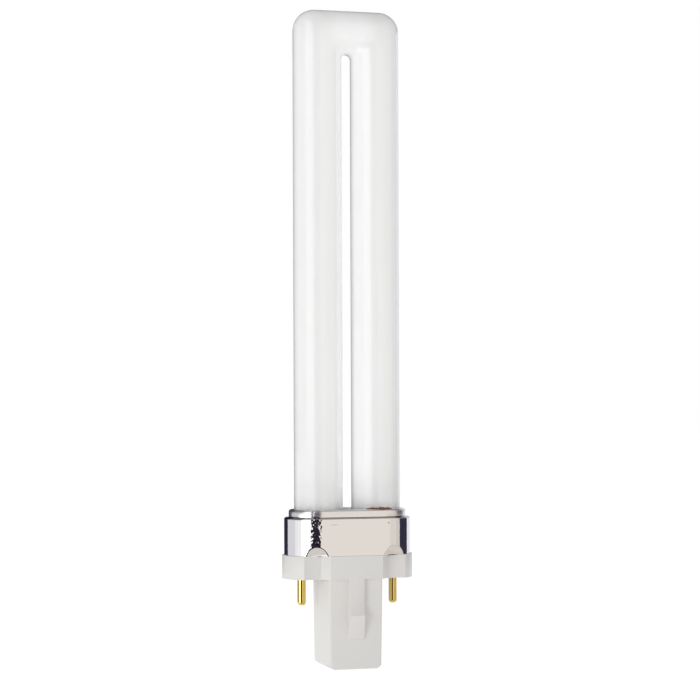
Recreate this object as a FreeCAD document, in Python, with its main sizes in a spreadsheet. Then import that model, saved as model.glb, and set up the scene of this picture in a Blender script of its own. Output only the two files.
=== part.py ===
import FreeCAD, Part
import Sketcher
import math
import os
import sys

# Twin-tube compact fluorescent lamp with a two-pin plug-in cap, lengths in millimetres.
# The lamp stands upright on the end of its plug: Z is up, X runs along the line of the two
# pins, and the origin is the middle of the plug's end face.

doc = FreeCAD.newDocument("TwinTubeLamp")
V = FreeCAD.Vector

# Driving dimensions
SIZES = [
    # glass
    ("tube_diameter", 11.8, "outer diameter of each glass leg"),
    ("tube_gap", 2.6, "clear gap between the two legs"),
    ("tube_rise", 120.6, "collar rim to the top of the bend"),
    ("bridge_height", 10.5, "height of the glass above the end of the gap"),
    ("bend_corner", 5.0, "outer corner radius of the squared bend"),
    ("bend_sections", 48, "number of steps between the sections of the bend"),
    ("leg_depth", 6.5, "round leg hidden below the collar rim"),
    ("seal_shoulder", 2.2, "height over which a leg flattens into its press seal"),
    ("seal_width", 8.8, "press seal along X"),
    ("seal_thickness", 2.2, "press seal along Y"),
    ("seal_height", 2.2, "straight height of the press seal"),
    ("stem_diameter", 2.4, "pumping stem left on the right leg"),
    ("stem_length", 2.0, "pumping stem below its seal"),
    ("stem_tip_round", 1.1, "rounding of the melted-off stem"),
    # collar
    ("collar_end_shift", 0.4, "centre of a round end beyond the axis of its leg"),
    ("rim_web", 0.75, "rim's face outside a leg's hole along Y"),
    ("band_height", 9.0, "plain band above the flange"),
    ("sheet_thickness", 0.35, "drawn aluminium sheet"),
    ("groove_height", 0.2, "groove between band and rim"),
    ("groove_depth", 0.35, "groove behind the face of the rim"),
    ("rim_height", 1.75, "rolled rim"),
    ("rim_inset", 1.1, "rim set in from the band"),
    ("rim_top_round", 0.6, "rounding of the rim's upper edge"),
    ("rim_foot_round", 0.25, "rounding of the rim's lower edge"),
    ("band_round", 0.35, "rounding of the band's top edge"),
    ("tube_clearance", 0.2, "between a leg and its hole, filled with cement"),
    ("crimp_span", 6.7, "width of a crimp at the collar's lower edge"),
    ("crimp_rise", 2.1, "height of a crimp above that edge"),
    ("crimp_ball", 6.0, "radius of the ball-nosed crimping tool"),
    ("crimp_angle", 15.0, "turn of a crimp from the broad side, in degrees"),
    # base moulding
    ("flange_ledge", 0.5, "flange outside the collar band, all round"),
    ("flange_height", 5.6, "flange along Z"),
    ("flange_floor", 2.0, "plastic under the flange's hollow"),
    ("notch_start", 1.1, "notch's inner end before the centre of the round end"),
    ("notch_end", 5.0, "notch's outer end beyond that centre"),
    ("notch_floor_start", 0.8, "inner end of the notch's floor beyond that centre"),
    ("notch_floor_end", 3.3, "outer end of the notch's floor beyond that centre"),
    ("notch_floor_inset", 1.9, "floor of a notch behind the flange's broad side"),
    ("notch_floor_turn", 0.25, "extra inset of the floor's outer end"),
    ("neck_height", 3.0, "neck inside the collar"),
    ("neck_clearance", 0.1, "between the neck and the collar, all round"),
    ("neck_wall", 1.85, "wall of the neck"),
    ("plug_length", 21.6, "flange underside to the plug's end"),
    ("plug_width", 13.35, "plug along X at the flange"),
    ("plug_thickness", 15.1, "plug along Y at the flange"),
    ("plug_draft", 0.5, "loss of width and thickness down to the plug's end"),
    ("plug_edge", 0.5, "rounding of the plug's upright edges"),
    ("plug_end_edge", 0.2, "chamfer round the plug's end"),
    ("plug_lead_in_x", 1.1, "lead-in at both ends of the plug's foot, along X"),
    ("plug_lead_in_z", 0.85, "height of that lead-in"),
    ("plug_wall", 1.2, "wall and end of the plug"),
    ("rib_width", 4.0, "latch rib where it leaves the plug"),
    ("rib_taper", 0.14, "loss of half width for each unit of relief"),
    ("rib_straight", 6.4, "flush part of the rib below the flange"),
    ("nose_drop", 8.6, "peak of the latch nose below the flange"),
    ("nose_reach", 1.0, "peak of the nose in front of the flange"),
    ("ramp_drop", 14.4, "lower end of the ramp below the flange"),
    ("ramp_relief", 0.1, "relief left at the lower end of the ramp"),
    # contact pins
    ("pin_spacing", 23.0, "between the axes of the pins"),
    ("pin_diameter", 2.0, "contact pin"),
    ("pin_length", 6.6, "pin below the flange"),
    ("pin_tip_round", 0.7, "rounding of a pin's tip"),
    ("pin_shank_diameter", 2.4, "thicker part that is held in the flange"),
    ("pin_head_diameter", 3.0, "head inside the flange"),
    ("pin_head_height", 0.5, "thickness of the head"),
    ("pin_head_room", 0.2, "room round the head in the flange's hollow"),
    ("pin_bore", 1.0, "bore that takes the lead"),
    ("pin_solid", 7.0, "solid length from the tip up to the bore"),
    # starter circuit
    ("starter_diameter", 6.0, "glow starter bottle"),
    ("starter_setback", 2.6, "axis of the bottle behind the lamp's axis, to the front"),
    ("starter_height", 12.4, "round part of the bottle"),
    ("starter_round", 1.8, "rounding of the bottle's dome and shoulder"),
    ("starter_nipple_diameter", 2.0, "nipple where the bottle was melted off"),
    ("starter_nipple_height", 1.0, "height of that nipple"),
    ("starter_seal_width", 4.4, "press seal of the bottle along X"),
    ("starter_seal_thickness", 1.6, "press seal of the bottle along Y"),
    ("starter_seal_height", 3.2, "press seal of the bottle"),
    ("starter_lead_spacing", 2.2, "between the bottle's leads"),
    ("capacitor_width", 7.0, "suppression capacitor along X"),
    ("capacitor_thickness", 2.6, "suppression capacitor along Y"),
    ("capacitor_height", 8.5, "suppression capacitor along Z"),
    ("capacitor_round", 0.8, "rounding of the dipped block"),
    ("capacitor_setback", 3.6, "capacitor behind the lamp's axis, to the back"),
    ("capacitor_lift", 7.5, "capacitor above the plug's end"),
    ("lead_diameter", 0.4, "lead wires"),
    ("seal_lead_spacing", 4.8, "between the two leads of one press seal"),
    ("splice_spacing", 4.6, "between the two splice sleeves"),
    ("splice_length", 2.6, "splice sleeve"),
    ("splice_wall", 0.25, "wall of a splice sleeve"),
    ("splice_lift", 0.4, "sleeve's lower end above the flange underside"),
    ("lead_gap", 0.06, "play between wires side by side in a sleeve"),
    ("lead_root", 0.8, "straight root of a lead at its seal or block"),
    ("lead_rise", 2.4, "from the last bend of a lead up to its sleeve"),
    ("loop_drop", 1.2, "from the last bend of a loop lead down to its sleeve"),
    # cement
    ("cement_depth", 6.9, "cement below the collar's top plate"),
    ("bead_height", 0.6, "cement squeezed out at the foot of the right leg"),
    ("bead_sweep", 64.0, "arc of that bead round the leg, in degrees"),
    ("bead_turn", -98.0, "middle of that arc, in degrees from X"),
]
sheet = doc.addObject("Spreadsheet::Sheet", "Sizes")
for row, (alias, value, meaning) in enumerate(SIZES, start=1):
    sheet.set(f"A{row}", meaning)
    sheet.set(f"B{row}", str(value))
    sheet.setAlias(f"B{row}", alias)
doc.recompute()

# Levels, radii and half widths that several pieces share, as formulas on the sheet
UNDERSIDE = "Sizes.plug_length"
FLANGE_TOP = f"({UNDERSIDE} + Sizes.flange_height)"
BAND_TOP = f"({FLANGE_TOP} + Sizes.band_height)"
RIM_FOOT = f"({BAND_TOP} + Sizes.groove_height)"
RIM_TOP = f"({RIM_FOOT} + Sizes.rim_height)"
PLATE_UNDER = f"({RIM_TOP} - Sizes.sheet_thickness)"
HOLLOW_FLOOR = f"({UNDERSIDE} + Sizes.flange_floor)"
LEG_END = f"({RIM_TOP} - Sizes.leg_depth)"
SEAL_TOP = f"({LEG_END} - Sizes.seal_shoulder)"
SEAL_END = f"({SEAL_TOP} - Sizes.seal_height)"
GLASS_TOP = f"({RIM_TOP} + Sizes.tube_rise)"
GAP_RADIUS = "(Sizes.tube_gap / 2)"
GAP_END = f"({GLASS_TOP} - Sizes.bridge_height - {GAP_RADIUS})"
LEG_R = "(Sizes.tube_diameter / 2)"
LEG_X = f"({LEG_R} + {GAP_RADIUS})"
HOLE_R = f"({LEG_R} + Sizes.tube_clearance)"
COLLAR_C = f"({LEG_X} + Sizes.collar_end_shift)"
RIM_R = f"({HOLE_R} + Sizes.rim_web)"
BAND_R = f"({RIM_R} + Sizes.rim_inset)"
BAND_INSIDE_R = f"({BAND_R} - Sizes.sheet_thickness)"
GROOVE_R = f"({RIM_R} - Sizes.groove_depth)"
RIM_INSIDE_R = f"({GROOVE_R} - Sizes.sheet_thickness)"
FLANGE_R = f"({BAND_R} + Sizes.flange_ledge)"
NECK_R = f"({BAND_INSIDE_R} - Sizes.neck_clearance)"
HOLLOW_R = f"({NECK_R} - Sizes.neck_wall)"
PIN_X = "(Sizes.pin_spacing / 2)"
PIN_R = "(Sizes.pin_diameter / 2)"
SHANK_R = "(Sizes.pin_shank_diameter / 2)"
HEAD_ROOM_R = "(Sizes.pin_head_diameter / 2 + Sizes.pin_head_room)"
SPLICE_X = "(Sizes.splice_spacing / 2)"
SPLICE_Z = f"({UNDERSIDE} + Sizes.splice_lift)"
WIRE_OFFSET = "((Sizes.lead_diameter + Sizes.lead_gap) / sqrt(3))"
SPLICE_BORE_R = f"({WIRE_OFFSET} + Sizes.lead_diameter / 2 + Sizes.lead_gap / 2)"


def number(formula):
    """The value that a formula on the sheet has now."""
    return float(sheet.evalExpression(formula))


def body(label):
    """An empty body named for the piece that it becomes."""
    return doc.addObject("PartDesign::Body", label)


def sketch(owner, name, plane="XY_Plane", height="0"):
    """A sketch on one of the body's own origin planes, moved along that plane's normal."""
    made = owner.newObject("Sketcher::SketchObject", name)
    datum = next(f for f in owner.Origin.OriginFeatures if f.Role == plane)
    made.AttachmentSupport = [(datum, "")]
    made.MapMode = "FlatFace"
    made.setExpression("AttachmentOffset.Base.z", height)
    return made


def hold(target, kind, formula, *ends):
    """A dimension on the sketch whose value follows a formula."""
    index = target.addConstraint(Sketcher.Constraint(kind, *ends, number(formula)))
    target.setExpression(f"Constraints[{index}]", formula)


def stadium(target, centre, radius):
    """Two straight sides closed by half circles whose centres lie at plus and minus centre."""
    c, r = number(centre), number(radius)
    up = V(0, 0, 1)
    right = Part.Circle(V(c, 0, 0), up, r)
    left = Part.Circle(V(-c, 0, 0), up, r)
    half = math.pi / 2
    first = target.GeometryCount
    target.addGeometry(Part.LineSegment(V(-c, -r, 0), V(c, -r, 0)))
    target.addGeometry(Part.ArcOfCircle(right, -half, half))
    target.addGeometry(Part.LineSegment(V(c, r, 0), V(-c, r, 0)))
    target.addGeometry(Part.ArcOfCircle(left, half, 3 * half))
    for step in range(4):
        here, following = first + step, first + (step + 1) % 4
        target.addConstraint(Sketcher.Constraint("Tangent", here, 2, following, 1))
    target.addConstraint(Sketcher.Constraint("PointOnObject", first + 1, 3, -1))
    target.addConstraint(Sketcher.Constraint("PointOnObject", first + 3, 3, -1))
    hold(target, "DistanceX", centre, -1, 1, first + 1, 3)
    hold(target, "DistanceX", f"-{centre}", -1, 1, first + 3, 3)
    hold(target, "Radius", radius, first + 1)


def polygon(target, corners):
    """A closed outline of straight sides, each corner held from the sketch's origin."""
    points = [V(number(x), number(y), 0) for x, y in corners]
    count = len(points)
    first = target.GeometryCount
    for i in range(count):
        target.addGeometry(Part.LineSegment(points[i], points[(i + 1) % count]))
    for i in range(count):
        following = first + (i + 1) % count
        target.addConstraint(Sketcher.Constraint("Coincident", first + i, 2, following, 1))
    for i, (x, y) in enumerate(corners):
        hold(target, "DistanceX", x, -1, 1, first + i, 1)
        hold(target, "DistanceY", y, -1, 1, first + i, 1)


def rectangle(target, half_x, half_y):
    """A rectangle centred on the sketch's origin."""
    polygon(
        target,
        [
            (f"-{half_x}", f"-{half_y}"),
            (half_x, f"-{half_y}"),
            (half_x, half_y),
            (f"-{half_x}", half_y),
        ],
    )


def circle(target, x, radius):
    """A circle on the sketch's X axis."""
    index = target.GeometryCount
    target.addGeometry(Part.Circle(V(number(x), 0, 0), V(0, 0, 1), number(radius)))
    target.addConstraint(Sketcher.Constraint("PointOnObject", index, 3, -1))
    hold(target, "DistanceX", x, -1, 1, index, 3)
    hold(target, "Radius", radius, index)


def pad(owner, name, profile, length, reverse=False):
    """The profile raised by a length along its plane's normal, or against it."""
    made = owner.newObject("PartDesign::Pad", name)
    made.Profile = profile
    made.Reversed = reverse
    made.setExpression("Length", length)
    doc.recompute()
    return made


def pocket(owner, name, profile, length, midplane=False):
    """The profile cut away; the volume has to fall."""
    before = owner.Shape.Volume
    made = owner.newObject("PartDesign::Pocket", name)
    made.Profile = profile
    made.Midplane = midplane
    made.setExpression("Length", length)
    doc.recompute()
    if not owner.Shape.Volume < before:
        sys.exit(f"{name} cuts nothing")
    return made


def revolution(owner, name, profile):
    """The profile turned once round the sketch's upright axis."""
    made = owner.newObject("PartDesign::Revolution", name)
    made.Profile = profile
    made.ReferenceAxis = (profile, ["V_Axis"])
    made.Angle = 360
    doc.recompute()
    return made


def edges(shape, wanted):
    """Names of the edges whose bounding box passes the test."""
    found = enumerate(shape.Edges, start=1)
    return [f"Edge{i}" for i, edge in found if wanted(edge.BoundBox)]


def at_level(level):
    """A test for edges that lie flat at one height."""
    z = number(level)
    return lambda box: abs(box.ZMin - z) < 1e-4 and abs(box.ZMax - z) < 1e-4


def on_face(level, radius):
    """A test for edges at one height that also lie on the outer face of that half width."""
    level_test, r = at_level(level), number(radius)
    return lambda box: level_test(box) and abs(max(-box.YMin, box.YMax) - r) < 1e-4


def tapered_block(owner, name, foot, top, height):
    """A block on the plane Z = 0 with flat sloping sides, from half sizes at foot and top."""
    made = owner.newObject("PartDesign::AdditiveWedge", name)
    made.Placement = FreeCAD.Placement(V(0, 0, 0), FreeCAD.Rotation(V(1, 0, 0), 90))
    made.Ymin = 0
    made.setExpression("Ymax", height)
    for level, (half_x, half_y) in (("", foot), ("2", top)):
        made.setExpression(f"X{level}min", f"-{half_x}")
        made.setExpression(f"X{level}max", half_x)
        made.setExpression(f"Z{level}min", f"-{half_y}")
        made.setExpression(f"Z{level}max", half_y)
    doc.recompute()
    return made


def fillet(owner, name, base, wanted, radius, kind="Fillet"):
    """The chosen edges of the base feature rounded, or chamfered."""
    made = owner.newObject(f"PartDesign::{kind}", name)
    made.Base = (base, edges(base.Shape, wanted))
    made.setExpression("Radius" if kind == "Fillet" else "Size", radius)
    doc.recompute()
    return made


def boolean(kind, name, *parts):
    """A Part boolean of finished shapes: Cut takes two, MultiFuse and MultiCommon any number."""
    made = doc.addObject(f"Part::{kind}", name)
    if kind == "Cut":
        made.Base, made.Tool = parts
    else:
        made.Shapes = list(parts)
    doc.recompute()
    return made


# Discharge tube: a glass U whose bend was blown out in a mould. Every section of the bend is
# an ellipse that stands on a ray from the gap's round end to the squared outer outline; along
# Y it is always as thick as a leg, so it runs into both legs without a step.
def outline_reach(angle, half_width, height, corner):
    """Distance from the gap's centre to the outer outline, in the direction of an angle."""
    across, rise = abs(math.cos(angle)), math.sin(angle)
    if across * height <= (half_width - corner) * rise:
        return height / rise
    if rise * half_width <= (height - corner) * across:
        return half_width / across
    toward = across * (half_width - corner) + rise * (height - corner)
    square = (half_width - corner) ** 2 + (height - corner) ** 2
    return toward + math.sqrt(toward**2 - square + corner**2)


def bend_shape():
    """The bend as one loft through ellipses that fan round the end of the gap."""
    sections = int(number("Sizes.bend_sections"))
    leg_r = number(LEG_R)
    gap_r = number(GAP_RADIUS)
    half_width = number(LEG_X) + leg_r
    height = number("Sizes.bridge_height") + gap_r
    ring = Part.makeCircle(1.0).toNurbs()
    wires = []
    for step in range(sections + 1):
        angle = math.pi * step / sections
        reach = outline_reach(angle, half_width, height, number("Sizes.bend_corner"))
        middle, spread = (reach + gap_r) / 2, (reach - gap_r) / 2
        out = V(math.cos(angle), 0, math.sin(angle))
        normal = V(-math.sin(angle), 0, math.cos(angle))
        centre = V(0, 0, number(GAP_END)) + out * middle
        place = FreeCAD.Matrix()
        place.A11, place.A21, place.A31 = out.x * spread, out.y * spread, out.z * spread
        place.A12, place.A22, place.A32 = 0, leg_r, 0
        place.A13, place.A23, place.A33 = normal.x, normal.y, normal.z
        place.A14, place.A24, place.A34 = centre.x, centre.y, centre.z
        wires.append(Part.Wire(ring.transformGeometry(place).Edges))
    return Part.makeLoft(wires, True, False)


def seal_shape(x):
    """The lower end of a leg: round above, pressed flat below, straight to its end."""
    ring = Part.makeCircle(1.0).toNurbs()
    shoulder_r = (number(LEG_R), number(LEG_R))
    seal_r = (number("Sizes.seal_width") / 2, number("Sizes.seal_thickness") / 2)
    levels = [(number(LEG_END), shoulder_r), (number(SEAL_TOP), seal_r)]
    wires = []
    for z, (half_x, half_y) in levels:
        place = FreeCAD.Matrix()
        place.A11, place.A22 = half_x, half_y
        place.A14, place.A34 = x, z
        wires.append(Part.Wire(ring.transformGeometry(place).Edges))
    shoulder = Part.makeLoft(wires, True, True)
    foot = Part.Face(wires[1]).extrude(V(0, 0, number(SEAL_END) - number(SEAL_TOP)))
    return shoulder.fuse(foot)


def discharge_tube():
    """Bend, legs, press seals and the pumping stem, fused into the one sealed bulb."""
    bend = doc.addObject("Part::Feature", "bend")
    bend.Shape = bend_shape()
    pieces = [bend]
    for side, sign in (("left", "-"), ("right", "")):
        leg = doc.addObject("Part::Cylinder", f"leg_{side}")
        leg.setExpression("Radius", LEG_R)
        leg.setExpression("Height", f"{GAP_END} - {LEG_END}")
        leg.setExpression("Placement.Base.x", f"{sign}{LEG_X}")
        leg.setExpression("Placement.Base.z", LEG_END)
        seal = doc.addObject("Part::Feature", f"seal_{side}")
        seal.Shape = seal_shape(number(f"{sign}{LEG_X}"))
        pieces += [leg, seal]
    stem = doc.addObject("Part::Cylinder", "pumping_stem")
    stem.setExpression("Radius", "Sizes.stem_diameter / 2")
    stem.setExpression("Height", "Sizes.stem_length + Sizes.seal_height")
    stem.setExpression("Placement.Base.x", LEG_X)
    stem.setExpression("Placement.Base.z", f"{SEAL_END} - Sizes.stem_length")
    doc.recompute()
    tip = doc.addObject("Part::Fillet", "stem_tip")
    tip.Base = stem
    radius = number("Sizes.stem_tip_round")
    low = [i for i, e in enumerate(stem.Shape.Edges, 1) if e.BoundBox.ZMax < number(SEAL_END)]
    tip.Edges = [(i, radius, radius) for i in low]
    return boolean("MultiFuse", "discharge_tube", *pieces, tip)


# Metal collar: a cup drawn from aluminium sheet. Outside and inside are built as two solids,
# each with the four crimps, so that the sheet keeps its thickness where it is pressed in.
def crimp_balls(name, extra):
    """Four balls that the crimping tool would fill, one over each notch, grown by extra."""
    half_span = "(Sizes.crimp_span / 2)"
    # the crimp's edge is a circle on the band; its centre lies below the band's lower edge
    circle_r = f"(({half_span}^2 + Sizes.crimp_rise^2) / (2 * Sizes.crimp_rise))"
    reach = f"({BAND_R} + sqrt(Sizes.crimp_ball^2 - {circle_r}^2))"
    balls = []
    for sx in ("-", ""):
        for sy in ("-", ""):
            ball = doc.addObject("Part::Sphere", name)
            ball.setExpression("Radius", f"Sizes.crimp_ball + {extra}")
            outward_x = f"({COLLAR_C} + {reach} * sin(Sizes.crimp_angle))"
            outward_y = f"({reach} * cos(Sizes.crimp_angle))"
            ball.setExpression("Placement.Base.x", f"{sx}{outward_x}")
            ball.setExpression("Placement.Base.y", f"{sy}{outward_y}")
            ball.setExpression("Placement.Base.z", f"{FLANGE_TOP} + Sizes.crimp_rise - {circle_r}")
            balls.append(ball)
    return boolean("MultiFuse", f"{name}_group", *balls)


def metal_collar():
    """Band, groove and rolled rim outside; the same stepped hollow inside."""
    outside = body("collar_outside")
    steps = [
        ("band", FLANGE_TOP, BAND_R, "Sizes.band_height"),
        ("groove", BAND_TOP, GROOVE_R, "Sizes.groove_height"),
        ("rim", RIM_FOOT, RIM_R, "Sizes.rim_height"),
    ]
    for name, height, radius, length in steps:
        plan = sketch(outside, f"{name}_plan", height=height)
        stadium(plan, COLLAR_C, radius)
        last = pad(outside, name, plan, length)
    rim_foot_edge = on_face(RIM_FOOT, RIM_R)
    band_top_edge = on_face(BAND_TOP, BAND_R)
    last = fillet(outside, "rim_top_round", last, at_level(RIM_TOP), "Sizes.rim_top_round")
    last = fillet(outside, "rim_foot_round", last, rim_foot_edge, "Sizes.rim_foot_round")
    fillet(outside, "band_top_round", last, band_top_edge, "Sizes.band_round")

    inside = body("collar_inside")
    band_plan = sketch(inside, "band_inside_plan", height=FLANGE_TOP)
    stadium(band_plan, COLLAR_C, BAND_INSIDE_R)
    pad(inside, "band_inside", band_plan, "Sizes.band_height - Sizes.sheet_thickness")
    rim_plan = sketch(inside, "rim_inside_plan", height=FLANGE_TOP)
    stadium(rim_plan, COLLAR_C, RIM_INSIDE_R)
    pad(inside, "rim_inside", rim_plan, f"{PLATE_UNDER} - {FLANGE_TOP}")
    hole_plan = sketch(inside, "hole_plan", height=FLANGE_TOP)
    circle(hole_plan, LEG_X, HOLE_R)
    circle(hole_plan, f"-{LEG_X}", HOLE_R)
    pad(inside, "holes", hole_plan, f"{RIM_TOP} - {FLANGE_TOP} + Sizes.rim_height")

    dented = boolean("Cut", "collar_dented", outside, crimp_balls("crimp", "0"))
    hollow = boolean("Cut", "collar_hollow", inside, crimp_balls("lining", "Sizes.sheet_thickness"))
    return boolean("Cut", "metal_collar", dented, hollow)


# Base moulding: one shot of white plastic. The plug has draft; each of its broad faces
# carries a latch rib that starts flush with the flange, swells to a nose and runs out in a
# long ramp. Four notches in the flange let the crimping tool reach the collar.
def base_moulding():
    """Outside of the moulding, less its hollow, with the neck that the collar is crimped to."""
    outside = body("base_outside")
    plug_end_x = "((Sizes.plug_width - Sizes.plug_draft) / 2)"
    plug_end_y = "((Sizes.plug_thickness - Sizes.plug_draft) / 2)"
    plug = tapered_block(
        outside,
        "plug",
        (plug_end_x, plug_end_y),
        ("(Sizes.plug_width / 2)", "(Sizes.plug_thickness / 2)"),
        "Sizes.plug_length",
    )
    last = fillet(outside, "plug_edges", plug, is_plug_corner, "Sizes.plug_edge")
    last = fillet(outside, "plug_end", last, at_level("0"), "Sizes.plug_end_edge", "Chamfer")

    # front view of the two wedges that are cut off for an easy entry: X across, Z up
    lead_in_plan = sketch(outside, "lead_in_plan", plane="XZ_Plane")
    for s in ("-", ""):
        polygon(
            lead_in_plan,
            [
                (f"{s}({plug_end_x} - Sizes.plug_lead_in_x)", "0"),
                (f"{s}({plug_end_x} + Sizes.plug_lead_in_x)", "2 * Sizes.plug_lead_in_z"),
                (f"{s}({plug_end_x} + Sizes.plug_lead_in_x)", "0"),
            ],
        )
    pocket(outside, "lead_in", lead_in_plan, "Sizes.plug_thickness * 2", midplane=True)

    rib_plan = sketch(outside, "rib_plan", height=UNDERSIDE)
    tip_y = f"({FLANGE_R} + Sizes.nose_reach)"
    relief = f"({tip_y} - Sizes.plug_thickness / 2)"
    tip_x = f"(Sizes.rib_width / 2 - Sizes.rib_taper * {relief})"
    root_x = f"(Sizes.rib_width / 2 + Sizes.rib_taper * Sizes.plug_wall)"
    root_y = "(Sizes.plug_thickness / 2 - Sizes.plug_wall)"
    for s in ("-", ""):
        polygon(
            rib_plan,
            [
                (f"-{root_x}", f"{s}{root_y}"),
                (f"-{tip_x}", f"{s}{tip_y}"),
                (tip_x, f"{s}{tip_y}"),
                (root_x, f"{s}{root_y}"),
            ],
        )
    pad(outside, "ribs", rib_plan, "Sizes.ramp_drop", reverse=True)

    # side view of what is cut away in front of each rib: Y across, Z up
    cut_plan = sketch(outside, "rib_cut_plan", plane="YZ_Plane")
    clear_y = f"({tip_y} + Sizes.nose_reach)"
    ramp_y = "(Sizes.plug_thickness / 2 + Sizes.ramp_relief)"
    below = f"({UNDERSIDE} - Sizes.ramp_drop - Sizes.ramp_relief)"
    for s in ("-", ""):
        polygon(
            cut_plan,
            [
                (f"{s}{FLANGE_R}", UNDERSIDE),
                (f"{s}{FLANGE_R}", f"({UNDERSIDE} - Sizes.rib_straight)"),
                (f"{s}{tip_y}", f"({UNDERSIDE} - Sizes.nose_drop)"),
                (f"{s}{ramp_y}", f"({UNDERSIDE} - Sizes.ramp_drop)"),
                (f"{s}{ramp_y}", below),
                (f"{s}{clear_y}", below),
                (f"{s}{clear_y}", UNDERSIDE),
            ],
        )
    pocket(outside, "rib_faces", cut_plan, "Sizes.rib_width * 2", midplane=True)

    flange_plan = sketch(outside, "flange_plan", height=UNDERSIDE)
    stadium(flange_plan, COLLAR_C, FLANGE_R)
    pad(outside, "flange", flange_plan, "Sizes.flange_height")
    notch_plan = sketch(outside, "notch_plan", height=FLANGE_TOP)
    floor_y = f"({FLANGE_R} - Sizes.notch_floor_inset)"
    clear_y = f"({FLANGE_R} + Sizes.notch_floor_inset)"
    ear_y = f"sqrt({FLANGE_R}^2 - Sizes.notch_end^2)"
    start_x = f"({COLLAR_C} - Sizes.notch_start)"
    floor_start_x = f"({COLLAR_C} + Sizes.notch_floor_start)"
    floor_end_x = f"({COLLAR_C} + Sizes.notch_floor_end)"
    end_x = f"({COLLAR_C} + Sizes.notch_end)"
    for sx in ("-", ""):
        for sy in ("-", ""):
            polygon(
                notch_plan,
                [
                    (f"{sx}{start_x}", f"{sy}{FLANGE_R}"),
                    (f"{sx}{floor_start_x}", f"{sy}{floor_y}"),
                    (f"{sx}{floor_end_x}", f"{sy}({floor_y} - Sizes.notch_floor_turn)"),
                    (f"{sx}{end_x}", f"{sy}{ear_y}"),
                    (f"{sx}{end_x}", f"{sy}{clear_y}"),
                    (f"{sx}{start_x}", f"{sy}{clear_y}"),
                ],
            )
    pocket(outside, "notches", notch_plan, "Sizes.flange_height")

    neck = body("neck_outside")
    neck_plan = sketch(neck, "neck_plan", height=FLANGE_TOP)
    stadium(neck_plan, COLLAR_C, NECK_R)
    pad(neck, "neck", neck_plan, "Sizes.neck_height")
    grown = "Sizes.sheet_thickness + Sizes.neck_clearance"
    neck_dented = boolean("Cut", "neck_dented", neck, crimp_balls("recess", f"({grown})"))

    inside = body("base_inside")
    hollow_plan = sketch(inside, "hollow_plan", height=HOLLOW_FLOOR)
    stadium(hollow_plan, COLLAR_C, HOLLOW_R)
    pad(inside, "flange_hollow", hollow_plan, f"{FLANGE_TOP} + 2 * Sizes.neck_height - {HOLLOW_FLOOR}")
    well_plan = sketch(inside, "well_plan", height="Sizes.plug_wall")
    well_x, well_y = f"({plug_end_x} - Sizes.plug_wall)", f"({plug_end_y} - Sizes.plug_wall)"
    rectangle(well_plan, well_x, well_y)
    pad(inside, "well", well_plan, f"{HOLLOW_FLOOR} - Sizes.plug_wall + Sizes.neck_height")
    pin_plan = sketch(inside, "pin_hole_plan")
    circle(pin_plan, PIN_X, SHANK_R)
    circle(pin_plan, f"-{PIN_X}", SHANK_R)
    pad(inside, "pin_holes", pin_plan, FLANGE_TOP)
    head_plan = sketch(inside, "head_room_plan", height=HOLLOW_FLOOR)
    circle(head_plan, PIN_X, HEAD_ROOM_R)
    circle(head_plan, f"-{PIN_X}", HEAD_ROOM_R)
    pad(inside, "head_room", head_plan, f"{FLANGE_TOP} - {HOLLOW_FLOOR}")

    solid = boolean("MultiFuse", "base_solid", outside, neck_dented)
    return boolean("Cut", "base_moulding", solid, inside)


def is_plug_corner(box):
    """Edges that run from the plug's end to its root."""
    return abs(box.ZLength - number("Sizes.plug_length")) < 1e-4


# Contact pins: turned brass, held by a thicker shank in the flange and a head inside it, and
# bored from above for the lead
def contact_pin(side, sign):
    """A turned profile with a rounded tip and a blind bore, origin at the flange underside."""
    made = body(f"contact_pin_{side}")
    profile = sketch(made, f"pin_profile_{side}", plane="XZ_Plane")
    head_top = "(Sizes.flange_floor + Sizes.pin_head_height)"
    polygon(
        profile,
        [
            ("0", "-Sizes.pin_length"),
            (PIN_R, "-Sizes.pin_length"),
            (PIN_R, "0"),
            (SHANK_R, "0"),
            (SHANK_R, "Sizes.flange_floor"),
            ("(Sizes.pin_head_diameter / 2)", "Sizes.flange_floor"),
            ("(Sizes.pin_head_diameter / 2)", head_top),
            ("0", head_top),
        ],
    )
    turned = revolution(made, f"pin_{side}", profile)
    tip = at_level("-Sizes.pin_length")
    fillet(made, f"pin_tip_{side}", turned, tip, "Sizes.pin_tip_round")
    bore_plan = sketch(made, f"pin_bore_plan_{side}", height=head_top)
    circle(bore_plan, "0", "Sizes.pin_bore / 2")
    bore_depth = f"{head_top} + Sizes.pin_length - Sizes.pin_solid"
    pocket(made, f"pin_bore_{side}", bore_plan, bore_depth)
    made.setExpression("Placement.Base.x", f"{sign}{PIN_X}")
    made.setExpression("Placement.Base.z", UNDERSIDE)
    return made


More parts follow.
